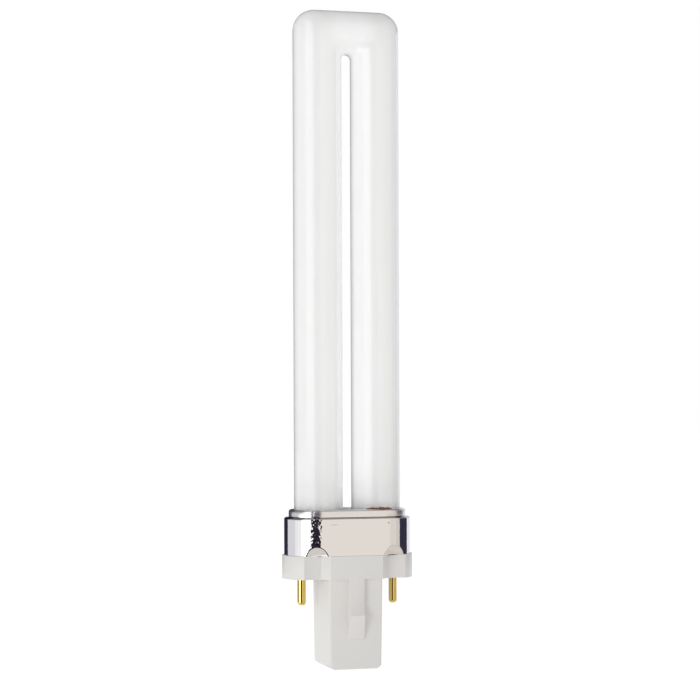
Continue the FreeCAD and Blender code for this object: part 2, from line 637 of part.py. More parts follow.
# Glow starter: a sealed glass bottle standing in the plug, its press seal and leads upwards
def starter_bottle():
    """A domed bottle with a tipped-off nipple, and a flat press seal on top."""
    made = body("starter_bottle")
    profile = sketch(made, "bottle_profile", plane="XZ_Plane")
    radius = "(Sizes.starter_diameter / 2)"
    nipple_r = "(Sizes.starter_nipple_diameter / 2)"
    polygon(
        profile,
        [
            ("0", "0"),
            (nipple_r, "0"),
            (nipple_r, "Sizes.starter_nipple_height"),
            (radius, "Sizes.starter_nipple_height"),
            (radius, "Sizes.starter_height"),
            ("0", "Sizes.starter_height"),
        ],
    )
    turned = revolution(made, "bottle", profile)
    shoulder = at_level("Sizes.starter_height")
    dome = on_face("Sizes.starter_nipple_height", radius)
    last = fillet(made, "bottle_shoulder", turned, shoulder, "Sizes.starter_round")
    fillet(made, "bottle_dome", last, dome, "Sizes.starter_round")
    seal_plan = sketch(made, "bottle_seal_plan", height="Sizes.starter_height / 2")
    rectangle(seal_plan, "(Sizes.starter_seal_width / 2)", "(Sizes.starter_seal_thickness / 2)")
    pad(made, "bottle_seal", seal_plan, "Sizes.starter_height / 2 + Sizes.starter_seal_height")
    made.setExpression("Placement.Base.y", "-Sizes.starter_setback")
    made.setExpression("Placement.Base.z", "Sizes.plug_wall")
    return made


# Radio suppression capacitor: a dipped block beside the starter
def suppression_capacitor():
    """A block with all its edges rounded."""
    made = body("suppression_capacitor")
    plan = sketch(made, "capacitor_plan")
    rectangle(plan, "(Sizes.capacitor_width / 2)", "(Sizes.capacitor_thickness / 2)")
    block = pad(made, "capacitor_block", plan, "Sizes.capacitor_height")
    fillet(made, "capacitor_round", block, lambda box: True, "Sizes.capacitor_round")
    made.setExpression("Placement.Base.y", "Sizes.capacitor_setback")
    made.setExpression("Placement.Base.z", "Sizes.capacitor_lift")
    return made


# Splice sleeves: short crimped tubes that join three wires each
def splice_sleeve(side, sign):
    """A ring round the three wires."""
    made = body(f"splice_sleeve_{side}")
    plan = sketch(made, f"splice_plan_{side}")
    circle(plan, "0", f"{SPLICE_BORE_R} + Sizes.splice_wall")
    circle(plan, "0", SPLICE_BORE_R)
    pad(made, f"splice_{side}", plan, "Sizes.splice_length")
    made.setExpression("Placement.Base.x", f"{sign}{SPLICE_X}")
    made.setExpression("Placement.Base.z", SPLICE_Z)
    return made


# Lead wires: straight runs joined by tangent arcs
def lead(label, formulas):
    """A round wire along a route of points given by formulas."""
    arc_share = 0.45  # of the shorter run beside each bend
    points = [V(*(number(f) for f in point)) for point in formulas]
    wire_r = number("Sizes.lead_diameter / 2")
    spine = []
    start = points[0]
    for before, corner, after in zip(points, points[1:], points[2:]):
        came, goes = (before - corner), (after - corner)
        trim = arc_share * min(came.Length, goes.Length)
        came.normalize()
        goes.normalize()
        first, last = corner + came * trim, corner + goes * trim
        half = came.getAngle(goes) / 2
        radius = trim * math.tan(half)
        bisector = (came + goes).normalize()
        centre = corner + bisector * (radius / math.sin(half))
        middle = centre - bisector * radius
        spine.append(Part.LineSegment(start, first).toShape())
        spine.append(Part.Arc(first, middle, last).toShape())
        start = last
    spine.append(Part.LineSegment(start, points[-1]).toShape())
    route = Part.Wire(spine)
    section = Part.Wire(Part.makeCircle(wire_r, points[0], points[1] - points[0]))
    made = doc.addObject("Part::Feature", label)
    made.Shape = route.makePipeShell([section], True, False)
    expected = math.pi * wire_r**2 * route.Length
    slack = 0.02 * expected
    if abs(made.Shape.Volume - expected) > slack:
        sys.exit(f"{label} has lost its section along the route")
    return made


def lead_wires():
    """Eight wires: seal to pin, seal to splice, bottle to splice and capacitor to splice."""
    wires = []
    seal_half = "(Sizes.seal_lead_spacing / 2)"
    splice_top = f"({SPLICE_Z} + Sizes.splice_length)"
    bottle_top = "(Sizes.plug_wall + Sizes.starter_height + Sizes.starter_seal_height)"
    block_top = "(Sizes.capacitor_lift + Sizes.capacitor_height)"
    pin_floor = f"({UNDERSIDE} - Sizes.pin_length + Sizes.pin_solid)"
    pin_top = f"({HOLLOW_FLOOR} + Sizes.pin_head_height)"
    for side, s in (("left", "-"), ("right", "")):
        outer = f"{s}({LEG_X} + {seal_half})"
        inner = f"{s}({LEG_X} - {seal_half})"
        pin = f"{s}{PIN_X}"
        # the three wires of a splice stand round its axis, a third of a turn apart
        splice_in = f"{s}({SPLICE_X} - {WIRE_OFFSET} * cos(30))"
        splice_out = f"{s}({SPLICE_X} + {WIRE_OFFSET} * cos(30))"
        splice_mid = f"{s}{SPLICE_X}"
        low_y = f"(-{WIRE_OFFSET} / 2)"
        halfway = f"(({SEAL_END} + {pin_top}) / 2)"
        wires.append(
            lead(
                f"pin_lead_{side}",
                [
                    (outer, "0", SEAL_END),
                    (outer, "0", f"({halfway} + Sizes.pin_head_height)"),
                    (pin, "0", f"({halfway} - Sizes.pin_head_height)"),
                    (pin, "0", pin_floor),
                ],
            )
        )
        wires.append(
            lead(
                f"loop_lead_{side}",
                [
                    (inner, "0", SEAL_END),
                    (inner, "0", f"({SEAL_END} - Sizes.lead_root)"),
                    (splice_mid, WIRE_OFFSET, f"({splice_top} + Sizes.loop_drop)"),
                    (splice_mid, WIRE_OFFSET, SPLICE_Z),
                ],
            )
        )
        wires.append(
            lead(
                f"starter_lead_{side}",
                [
                    (f"{s}Sizes.starter_lead_spacing / 2", "-Sizes.starter_setback", bottle_top),
                    (
                        f"{s}Sizes.starter_lead_spacing / 2",
                        "-Sizes.starter_setback",
                        f"({bottle_top} + Sizes.lead_root)",
                    ),
                    (splice_in, low_y, f"({SPLICE_Z} - Sizes.lead_rise)"),
                    (splice_in, low_y, splice_top),
                ],
            )
        )
        wires.append(
            lead(
                f"capacitor_lead_{side}",
                [
                    (splice_out, "Sizes.capacitor_setback", block_top),
                    (
                        splice_out,
                        "Sizes.capacitor_setback",
                        f"({block_top} + Sizes.lead_root)",
                    ),
                    (splice_out, low_y, f"({SPLICE_Z} - Sizes.lead_rise)"),
                    (splice_out, low_y, splice_top),
                ],
            )
        )
    return wires


# Basing cement: fills the collar round the legs down to the press seals, fills the play in
# the collar's two holes, and has been squeezed out as a short bead at the right leg's foot
def basing_cement(glass):
    """The collar's filling with the glass taken out of it."""
    block = body("cement_block")
    floor_z = f"({PLATE_UNDER} - Sizes.cement_depth)"
    wide_top = f"({BAND_TOP} - Sizes.sheet_thickness)"
    wide_plan = sketch(block, "cement_plan", height=floor_z)
    stadium(wide_plan, COLLAR_C, BAND_INSIDE_R)
    pad(block, "cement_wide", wide_plan, f"{wide_top} - {floor_z}")
    upper_plan = sketch(block, "cement_upper_plan", height=floor_z)
    stadium(upper_plan, COLLAR_C, RIM_INSIDE_R)
    pad(block, "cement_upper", upper_plan, f"{PLATE_UNDER} - {floor_z}")
    hole_plan = sketch(block, "cement_hole_plan", height=floor_z)
    circle(hole_plan, LEG_X, HOLE_R)
    circle(hole_plan, f"-{LEG_X}", HOLE_R)
    pad(block, "cement_holes", hole_plan, f"{RIM_TOP} - {floor_z}")

    bead = doc.addObject("Part::Torus", "cement_bead")
    bead.setExpression("Radius1", HOLE_R)
    bead.setExpression("Radius2", "Sizes.bead_height")
    bead.setExpression("Angle3", "Sizes.bead_sweep")
    bead.setExpression("Placement.Base.x", LEG_X)
    bead.setExpression("Placement.Base.z", RIM_TOP)
    turn = "Sizes.bead_turn - Sizes.bead_sweep / 2"
    bead.setExpression("Placement.Rotation.Angle", turn)
    above = doc.addObject("Part::Box", "above_the_rim")
    above.setExpression("Length", f"4 * {LEG_X}")
    above.setExpression("Width", f"4 * {LEG_X}")
    above.setExpression("Height", "Sizes.bead_height * 2")
    above.setExpression("Placement.Base.y", f"-2 * {LEG_X}")
    above.setExpression("Placement.Base.z", RIM_TOP)
    doc.recompute()
    bead_above = boolean("MultiCommon", "bead_above", bead, above)
    poured = boolean("MultiFuse", "cement_poured", block, bead_above)
    return boolean("Cut", "basing_cement", poured, glass)


glass = discharge_tube()
pieces = [
    glass,
    metal_collar(),
    base_moulding(),
    basing_cement(glass),
    starter_bottle(),
    suppression_capacitor(),
]
for side, sign in (("left", "-"), ("right", "")):
    pieces.append(contact_pin(side, sign))
    pieces.append(splice_sleeve(side, sign))
pieces += lead_wires()
doc.recompute()

for item in doc.Objects:
    if "Invalid" in item.State or "Error" in item.State:
        sys.exit(f"{item.Label} did not recompute: {item.State}")
os.makedirs("parts", exist_ok=True)
for piece in pieces:
    if piece.Shape.isNull() or not piece.Shape.isValid():
        sys.exit(f"{piece.Label} has no valid shape")
    piece.Shape.exportStep(f"parts/{piece.Label}.step")
    box = piece.Shape.optimalBoundingBox(False)
    print(
        f"{piece.Label}: {len(piece.Shape.Solids)} solid, {piece.Shape.Volume:.1f} mm3,",
        f"z {box.ZMin:.2f} to {box.ZMax:.2f}, {box.XLength:.2f} x {box.YLength:.2f}",
    )
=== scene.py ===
import math

import bmesh
import bpy
import numpy as np
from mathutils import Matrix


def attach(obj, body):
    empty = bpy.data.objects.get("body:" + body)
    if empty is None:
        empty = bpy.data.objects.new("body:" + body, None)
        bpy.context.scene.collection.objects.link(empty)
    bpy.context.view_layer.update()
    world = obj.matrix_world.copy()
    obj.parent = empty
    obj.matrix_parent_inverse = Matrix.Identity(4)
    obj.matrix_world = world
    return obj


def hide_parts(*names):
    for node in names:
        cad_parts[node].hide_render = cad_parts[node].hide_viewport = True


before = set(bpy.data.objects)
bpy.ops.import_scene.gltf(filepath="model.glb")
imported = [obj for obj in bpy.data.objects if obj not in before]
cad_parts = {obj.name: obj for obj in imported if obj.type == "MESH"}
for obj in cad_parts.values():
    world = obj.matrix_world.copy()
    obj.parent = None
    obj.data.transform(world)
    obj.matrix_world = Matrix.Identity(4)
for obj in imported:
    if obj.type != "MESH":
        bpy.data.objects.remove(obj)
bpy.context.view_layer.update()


# ---------------------------------------------------------------- discharge tube
# A drawn soda-lime glass tube, bent to a U and blown square at the bend in a mould while hot.
# The phosphor on its inside makes it milky. Its pressed lower ends are hidden in the collar,
# where cement holds them; one still carries the stem that it was pumped out through.

mm = 0.001        # in metres, the unit of all lengths

leg_radius = 5.9 * mm
gap_radius = 1.3 * mm
leg_axis = leg_radius + gap_radius
gap_end = 146.95 * mm
bend_height = 11.8 * mm
bend_half_width = leg_axis + leg_radius
bend_corner = 5.0 * mm
leg_end, seal_top, seal_end, stem_end = 31.65 * mm, 29.45 * mm, 27.25 * mm, 25.25 * mm
seal_half_width, seal_half_thickness = 4.4 * mm, 1.1 * mm
stem_radius, stem_round = 1.2 * mm, 1.1 * mm
bend_rows, leg_rows = 145, 34


def outline_reach(angle):
    """Distance from the middle of the gap's round end to the mould's outline, a box with round
    corners, along a ray at each angle: half width over cosine where the ray meets a side,
    height over sine where it meets the top, and in between the far root of the corner's
    circle."""
    tiny = 1e-9        # keeps the branch that is not taken from dividing by nothing
    across, rise = np.abs(np.cos(angle)), np.sin(angle)
    flat_x, flat_z = bend_half_width - bend_corner, bend_height - bend_corner
    toward = across * flat_x + rise * flat_z
    under_root = toward**2 - flat_x**2 - flat_z**2 + bend_corner**2
    reach = toward + np.sqrt(np.maximum(under_root, 0))
    on_top = across * bend_height <= flat_x * rise
    on_side = rise * bend_half_width <= flat_z * across
    reach = np.where(on_side, bend_half_width / np.maximum(across, tiny), reach)
    return np.where(on_top, bend_height / np.maximum(rise, tiny), reach)


def fanned_ellipses(angle, middle, level, half_out, half_y, columns=96):
    """A tube round the gap's end: at each angle stands an ellipse whose first axis points away
    from the gap. middle is its distance out, level the height of the fan's centre."""
    turn = np.linspace(0, 2 * np.pi, columns + 1)
    out = middle[:, None] + half_out[:, None] * np.cos(turn)
    x = out * np.cos(angle)[:, None]
    z = level[:, None] + out * np.sin(angle)[:, None]
    y = half_y[:, None] * np.sin(turn)
    return np.stack([x, y + 0 * x, z], axis=-1)


def turned(radii, levels, centre_x, columns=48):
    """A profile of radius against height, carried once round an upright axis."""
    turn = np.linspace(0, 2 * np.pi, columns + 1)
    radii, levels = np.asarray(radii, float)[:, None], np.asarray(levels, float)[:, None]
    x = centre_x + radii * np.cos(turn)
    y = radii * np.sin(turn)
    return np.stack([x, y, levels + 0 * x], axis=-1)


def piece_of(name, patches, sharp_degrees=35.0):
    """A mesh from grids of points (rows, columns, 3): neighbours make four-sided faces, points
    that meet are merged, and rows drawn together to a point become poles."""
    points, faces, start = [], [], 0
    for patch in patches:
        rows, columns = patch.shape[:2]
        index = start + np.arange(rows * columns).reshape(rows, columns)
        corners = (index[:-1, :-1], index[:-1, 1:], index[1:, 1:], index[1:, :-1])
        faces.append(np.stack([corner.ravel() for corner in corners], axis=-1))
        points.append(patch.reshape(-1, 3))
        start += rows * columns
    mesh = bpy.data.meshes.new(name)
    mesh.from_pydata(np.concatenate(points).tolist(), [], np.concatenate(faces).tolist())
    shell = bmesh.new()
    shell.from_mesh(mesh)
    bmesh.ops.remove_doubles(shell, verts=shell.verts, dist=0.001 * mm)
    bmesh.ops.dissolve_degenerate(shell, edges=shell.edges, dist=0.0001 * mm)
    bmesh.ops.recalc_face_normals(shell, faces=shell.faces)
    shell.to_mesh(mesh)
    shell.free()
    mesh.shade_smooth()
    mesh.set_sharp_from_angle(angle=math.radians(sharp_degrees))
    made = bpy.data.objects.new(name, mesh)
    bpy.context.scene.collection.objects.link(made)
    return made


def linear(code):
    """The linear colour of an sRGB hex code."""
    parts = [int(code[i:i + 2], 16) / 255 for i in (1, 3, 5)]
    light = [c / 12.92 if c <= 0.04045 else ((c + 0.055) / 1.055) ** 2.4 for c in parts]
    return (*light, 1.0)


def add_node(tree, kind, inputs=None, **settings):
    """Adds one node: settings are its choices, inputs its values or what feeds them."""
    node = tree.nodes.new(kind)
    for name, value in settings.items():
        setattr(node, name, value)
    for name, value in (inputs or {}).items():
        if isinstance(value, bpy.types.NodeSocket):
            tree.links.new(value, node.inputs[name])
        else:
            node.inputs[name].default_value = value
    return node


def begin_material(name):
    """A material with its tree and its one shader."""
    material = bpy.data.materials.new(name)
    material.use_nodes = True
    return material, material.node_tree, material.node_tree.nodes["Principled BSDF"]


bend_angle = np.linspace(0, np.pi, bend_rows)
bend_reach = outline_reach(bend_angle)
bend_middle = (bend_reach + gap_radius) / 2
bend_half = (bend_reach - gap_radius) / 2

# levels and half sizes of a leg from the middle of its seal's end up to the bend
foot_levels = np.array([seal_end, seal_end, seal_top, leg_end])
foot_half_x = np.array([0, seal_half_width, seal_half_width, leg_radius])
foot_half_y = np.array([0, seal_half_thickness, seal_half_thickness, leg_radius])
leg_levels = np.linspace(leg_end, gap_end, leg_rows)[1:-1]
rise_levels = np.concatenate([foot_levels, leg_levels])
rise_half_x = np.concatenate([foot_half_x, np.full(leg_levels.size, leg_radius)])
rise_half_y = np.concatenate([foot_half_y, np.full(leg_levels.size, leg_radius)])
straight = np.full(rise_levels.size, leg_axis)

u_shape = fanned_ellipses(
    np.concatenate([0 * straight, bend_angle, 0 * straight + np.pi]),
    np.concatenate([straight, bend_middle, straight]),
    np.concatenate([rise_levels, np.full(bend_angle.size, gap_end), rise_levels[::-1]]),
    np.concatenate([rise_half_x, bend_half, rise_half_x[::-1]]),
    np.concatenate([rise_half_y, np.full(bend_angle.size, leg_radius), rise_half_y[::-1]]),
)

# the pumping stem: melted shut to a round end, which the first row closes to a point
melted = np.linspace(0, np.pi / 2, 7)
stem = turned(
    [0, *(stem_radius - stem_round + stem_round * np.sin(melted)), stem_radius, 0],
    [stem_end, *(stem_end + stem_round - stem_round * np.cos(melted)), seal_top, seal_top],
    leg_axis,
)
glass = piece_of("milky_glass_tube", [u_shape, stem])

# Soda-lime glass, drawn and coated inside: a hard smooth gloss over an even milky white, and a
# thin clear coat for what the wall's inner face reflects. Light is painted into the white on
# the sides that face the gap and in a ring at the very foot, where the collar shades it; above
# that ring the white is greyer toward the foot. The drawn wall is not quite true.
glass_foot, foot_light_top, grey_top = 38 * mm, 44 * mm, 75 * mm
cloud_size, wave_size, wave_depth = 9 * mm, 14 * mm, 0.3 * mm
drawn_out = (1.0, 1.0, 0.12)
milk_depth = 24 * mm

material, tree, shader = begin_material("phosphor_coated_soda_lime_glass")
place = add_node(tree, "ShaderNodeTexCoord").outputs["Object"]
spot = add_node(tree, "ShaderNodeSeparateXYZ", {"Vector": place}).outputs
# the white is greyer toward the foot
greyer_to_foot = add_node(
    tree,
    "ShaderNodeMapRange",
    {"Value": spot["Z"], "From Min": glass_foot, "From Max": grey_top,
     "To Min": 1.0, "To Max": 0.0},
    interpolation_type="SMOOTHSTEP",
).outputs["Result"]
# painted light: the white is lightened in a ring at the very foot, where the collar shades it
painted_foot_light = add_node(
    tree,
    "ShaderNodeMapRange",
    {"Value": spot["Z"], "From Min": glass_foot, "From Max": foot_light_top,
     "To Min": 0.85, "To Max": 0.0},
    interpolation_type="SMOOTHSTEP",
).outputs["Result"]
# painted light: the white is lightened on the sides that face the gap
from_gap = add_node(tree, "ShaderNodeMath", {0: spot["X"]}, operation="ABSOLUTE").outputs[0]
painted_gap_light = add_node(
    tree,
    "ShaderNodeMapRange",
    {"Value": from_gap, "From Min": gap_radius, "From Max": leg_axis,
     "To Min": 1.0, "To Max": 0.0},
    interpolation_type="SMOOTHSTEP",
).outputs["Result"]
drawn_long = add_node(
    tree, "ShaderNodeMapping", {"Vector": place, "Scale": drawn_out}
).outputs["Vector"]
cloud = add_node(
    tree,
    "ShaderNodeTexNoise",
    {"Vector": drawn_long, "Scale": 1 / cloud_size, "Detail": 2.0, "Roughness": 0.4},
).outputs["Fac"]
coating = add_node(
    tree,
    "ShaderNodeMix",
    {0: cloud, 6: linear("#E2E1E0"), 7: linear("#E7E7E6")},
    data_type="RGBA",
).outputs[2]
# over the white: greyer toward the foot, then painted light facing the gap and at the very foot
for cover, colour in (
    (greyer_to_foot, "#DDDDDC"), (painted_gap_light, "#FBFBFA"), (painted_foot_light, "#FFFFFF"),
):
    coating = add_node(
        tree, "ShaderNodeMix", {0: cover, 6: coating, 7: linear(colour)}, data_type="RGBA"
    ).outputs[2]
wave = add_node(
    tree,
    "ShaderNodeTexNoise",
    {"Vector": drawn_long, "Scale": 1 / wave_size, "Detail": 0.0},
).outputs["Fac"]
bump = add_node(
    tree, "ShaderNodeBump", {"Height": wave, "Strength": 0.25, "Distance": wave_depth}
).outputs["Normal"]
tree.links.new(coating, shader.inputs["Base Color"])
tree.links.new(bump, shader.inputs["Normal"])
shader.inputs["Roughness"].default_value = 0.05
shader.inputs["IOR"].default_value = 1.52
shader.inputs["Subsurface Weight"].default_value = 1.0
shader.inputs["Subsurface Radius"].default_value = (1.0, 1.0, 1.0)
shader.inputs["Subsurface Scale"].default_value = milk_depth
shader.inputs["Coat Weight"].default_value = 0.5
shader.inputs["Coat Roughness"].default_value = 0.03
shader.inputs["Coat IOR"].default_value = 1.52
glass.data.materials.append(material)
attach(glass, "root")
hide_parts("discharge_tube")


# ---------------------------------------------------------------- basing cement
# Brown basing cement, poured into the collar round the legs and cured hot. It fills the play
# in the collar's two holes, and a little of it was squeezed out at the foot of the right leg.

end_centre = 7.6 * mm
hole_radius, cement_hole_radius = 6.1 * mm, 6.09 * mm
cement_floor, cement_step, plate_under = 30.9 * mm, 35.85 * mm, 37.8 * mm
rim_top = 38.15 * mm
cement_wide_radius, cement_upper_radius = 7.59 * mm, 6.14 * mm
bead_middle, bead_sweep = -98, 32        # degrees round the right leg's hole
bead_height, bead_breadth, bead_sunk = 0.6 * mm, 0.9, 0.05
bead_rows, bead_columns = 61, 25
broad_lump, fine_lump = 0.16, 0.08
bridge_points = 41
burnt_spot, grit_size, grit_depth = 1.2 * mm, 0.25 * mm, 0.1 * mm


def stadium_line(end_x, arc_columns, side_columns):
    """Once round a slot-shaped line, from the middle of its front: the two centres that the
    round ends turn about, or points between them on the straights, and the outward normals."""
    turn = np.linspace(-np.pi / 2, np.pi / 2, arc_columns + 1)
    side = np.linspace(-end_x, end_x, side_columns + 1)
    half = side[side_columns // 2:]
    spine_x = np.concatenate([half[:-1], 0 * turn + end_x, side[::-1][1:-1],
                              0 * turn - end_x, -half[::-1][1:]])
    up = np.pi / 2
    angle = np.concatenate([0 * half[:-1] - up, turn, 0 * side[1:-1] + up,
                            turn + np.pi, 0 * half[1:] + 3 * up])
    return spine_x, np.cos(angle), np.sin(angle)


def stadium_rows(line, radii, levels):
    """The slot-shaped line carried through a profile of half width against height: each point
    is its centre moved out along its normal by the half width."""
    spine_x, out_x, out_y = line
    radii, levels = np.asarray(radii, float)[:, None], np.asarray(levels, float)[:, None]
    x = spine_x + radii * out_x
    y = radii * out_y
    return np.stack([x, y + 0 * x, levels + 0 * x], axis=-1)


def half_loops(outline):
    """The outline cut along X = 0 into a right and a left loop, closed by the same line, each
    with the X of the hole in its half."""
    points = outline[:-1]
    count = len(points)
    front, back = points[0], points[count // 2]
    bridge = np.linspace(back, front, bridge_points)
    right = np.concatenate([points[:count // 2], bridge])
    left = np.concatenate([points[count // 2:], points[:1], bridge[::-1][1:]])
    return (leg_axis, right), (-leg_axis, left)


def toward_hole(loop, centre_x, radius, level):
    """Each point of a loop drawn along its ray to a circle round the centre."""
    away = loop[:, :2] - [centre_x, 0]
    unit = away / np.linalg.norm(away, axis=1)[:, None]
    ring = np.array([centre_x, 0]) + radius * unit
    return np.concatenate([ring, np.full((len(ring), 1), level)], axis=1)


cement_line = stadium_line(end_centre, arc_columns=64, side_columns=24)
cement_side = stadium_rows(
    cement_line,
    [cement_upper_radius, cement_upper_radius, cement_wide_radius, cement_wide_radius],
    [plate_under, cement_step, cement_step, cement_floor],
)
cement_patches = [cement_side]
top_halves = half_loops(cement_side[0])
floor_halves = half_loops(cement_side[-1])
for (centre_x, top_loop), (_, floor_loop) in zip(top_halves, floor_halves):
    collar_hole = toward_hole(top_loop, centre_x, cement_hole_radius, plate_under)
    collar_hole_top = toward_hole(top_loop, centre_x, cement_hole_radius, rim_top)
    leg_hole_top = toward_hole(top_loop, centre_x, leg_radius, rim_top)
    leg_hole_end = toward_hole(top_loop, centre_x, leg_radius, cement_floor)
    cement_patches.append(np.stack([
        top_loop, collar_hole, collar_hole_top, leg_hole_top, leg_hole_end, floor_loop,
    ]))

# the bead: a lumpy half round rope on the rim, tapered to nothing at both ends. Along its
# length, from -1 to 1, its size is the 0.7th power of a half circle, swelled and shrunk by a
# broad and a fine sine wave.
bead_length = np.linspace(-1, 1, bead_rows)
bead_turn = np.radians(bead_middle + bead_sweep * bead_length)
lumps = 1 + broad_lump * np.sin(11 * bead_length + 0.6) + fine_lump * np.sin(23 * bead_length)
bead_size = bead_height * np.sqrt(1 - bead_length**2) ** 0.7 * lumps
bead_size = bead_size / (1 + broad_lump + fine_lump)
across = np.linspace(0, 2 * np.pi, bead_columns)
bead_out = hole_radius + bead_size[:, None] * np.cos(across) * bead_breadth
bead_up = rim_top + bead_size[:, None] * np.maximum(np.sin(across), -bead_sunk)
cement_patches.append(np.stack([
    leg_axis + bead_out * np.cos(bead_turn)[:, None],
    bead_out * np.sin(bead_turn)[:, None],
    bead_up,
], axis=-1))
cement = piece_of("basing_cement_fill", cement_patches, sharp_degrees=50.0)

# Cured resin and chalk cement: matt, brown, with darker burnt spots and fine grit
material, tree, shader = begin_material("cured_basing_cement")
place = add_node(tree, "ShaderNodeTexCoord").outputs["Object"]
burnt = add_node(
    tree,
    "ShaderNodeTexNoise",
    {"Vector": place, "Scale": 1 / burnt_spot, "Detail": 3.0, "Roughness": 0.6},
).outputs["Fac"]
baked = add_node(
    tree,
    "ShaderNodeMix",
    {0: burnt, 6: linear("#4C3122"), 7: linear("#8F5F40")},
    data_type="RGBA",
).outputs[2]
grit = add_node(
    tree, "ShaderNodeTexNoise", {"Vector": place, "Scale": 1 / grit_size, "Detail": 2.0}
).outputs["Fac"]
bump = add_node(
    tree, "ShaderNodeBump", {"Height": grit, "Strength": 0.5, "Distance": grit_depth}
).outputs["Normal"]
tree.links.new(baked, shader.inputs["Base Color"])
tree.links.new(bump, shader.inputs["Normal"])
shader.inputs["Roughness"].default_value = 0.75
cement.data.materials.append(material)
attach(cement, "root")
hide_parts("basing_cement")


# ---------------------------------------------------------------- metal collar
# A cup drawn from 0.35 mm aluminium sheet, with a rolled rim over a groove. Four crimps were
# pressed into its lower edge with a ball-nosed tool to lock it on the neck of the base.

band_foot, band_top = 27.2 * mm, 36.2 * mm
rim_foot = 36.28 * mm
band_radius, groove_radius, rim_radius = 7.95 * mm, 6.5 * mm, 6.85 * mm
sheet = 0.35 * mm
band_round, rim_foot_round, rim_top_round = 0.35 * mm, 0.2 * mm, 0.6 * mm
rim_inside_radius = 6.22 * mm
crimp_ball, crimp_reach, crimp_level = 6.0 * mm, 12.656 * mm, 25.578 * mm
crimp_turn = math.radians(15)
crimp_softness = 0.22 * mm
crimped_height, fine_step, straight_step = 2.6 * mm, 0.12 * mm, 0.08 * mm


def pressed_in(points, line, ball_radius):
    """Points moved inward, against the band's normal, out of the four balls of the crimping
    tool. A ball's centre is crimp_reach from that of the band's end, crimp_turn off square, at
    crimp_level. Between depths of -s and s, the softness, the move is (depth + s) squared over
    4 s, so the crimp's edge is round; below s it is the depth."""
    _, out_x, out_y = line
    normal = np.stack([out_x, out_y, 0 * out_x], axis=-1)[None]
    moved = points
    for side_x in (-1, 1):
        for side_y in (-1, 1):
            centre = np.array([
                side_x * (end_centre + crimp_reach * math.sin(crimp_turn)),
                side_y * crimp_reach * math.cos(crimp_turn),
                crimp_level,
            ])
            away = points - centre
            ahead = -(away * normal).sum(axis=-1)
            aside = (away**2).sum(axis=-1) - ahead**2
            chord = np.sqrt(np.maximum(ball_radius**2 - aside, 0))
            depth = np.where(ahead > 0, chord - ahead, -ball_radius)
            soft = np.clip(depth + crimp_softness, 0, 2 * crimp_softness) ** 2
            soft = soft / (4 * crimp_softness) + np.maximum(depth - crimp_softness, 0)
            moved = moved - normal * soft[..., None]
    return moved


collar_line = stadium_line(end_centre, arc_columns=208, side_columns=128)
quarter = np.linspace(0, np.pi / 2, 7)
crimped_levels = np.arange(band_foot, band_foot + crimped_height, fine_step)

# a row one straight_step below the round at the band's top keeps it out of the band's shading
round_foot = band_top - band_round
plain_levels = np.linspace(crimped_levels[-1], round_foot - straight_step, 8)[1:]
plain_levels = np.append(plain_levels, round_foot)
upper_radii = [
    *(rim_radius - rim_top_round + rim_top_round * np.sin(quarter)),
    *(rim_radius - rim_foot_round + rim_foot_round * np.cos(quarter)),
    groove_radius,
    groove_radius,
]
upper_levels = [
    *(rim_top - rim_top_round + rim_top_round * np.cos(quarter)),
    *(rim_foot + rim_foot_round - rim_foot_round * np.sin(quarter)),
    rim_foot,
    band_top,
]
shoulder_radii = band_radius - band_round + band_round * np.sin(quarter)
shoulder_levels = round_foot + band_round * np.cos(quarter)
outer_wall = stadium_rows(
    collar_line,
    [*upper_radii, *shoulder_radii[:-1], *(0 * plain_levels + band_radius),
     *(0 * crimped_levels + band_radius)],
    [*upper_levels, *shoulder_levels[:-1], *plain_levels[::-1], *crimped_levels[::-1]],
)
wall_rows = plain_levels.size + crimped_levels.size
outer_wall[-wall_rows:] = pressed_in(outer_wall[-wall_rows:], collar_line, crimp_ball)
lining_levels = crimped_levels[::2]
inner_wall = stadium_rows(
    collar_line,
    [*(0 * lining_levels + band_radius - sheet), band_radius - sheet,
     rim_inside_radius, rim_inside_radius],
    [*lining_levels, band_top - sheet, band_top - sheet, plate_under],
)
inner_wall[:-2] = pressed_in(inner_wall[:-2], collar_line, crimp_ball + sheet)
collar_wall = np.concatenate([outer_wall, inner_wall])
collar_patches = [collar_wall]
top_halves = half_loops(collar_wall[0])
under_halves = half_loops(collar_wall[-1])
for (centre_x, top_loop), (_, under_loop) in zip(top_halves, under_halves):
    edge_top = toward_hole(top_loop, centre_x, hole_radius, rim_top)
    edge_under = toward_hole(top_loop, centre_x, hole_radius, plate_under)
    collar_patches.append(np.stack([top_loop, edge_top, edge_under, under_loop]))
collar = piece_of("crimped_collar", collar_patches, sharp_degrees=40.0)

# Bright aluminium, deep drawn: nearly a mirror, with upright drawing lines, drawn coarse enough
# to show, and shallow wrinkles that break up what it reflects where the wall turns to the left
wrinkled_x, wrinkled_reach, wrinkled_edge = -9.8 * mm, 0.8 * mm, 1.5 * mm
wrinkle_size, wrinkle_depth = 0.9 * mm, 0.2 * mm
crimp_top, wrinkle_foot = 29 * mm, 30 * mm
line_size, line_depth = 0.16 * mm, 0.008 * mm
drawn_up = (1.0, 1.0, 0.22)

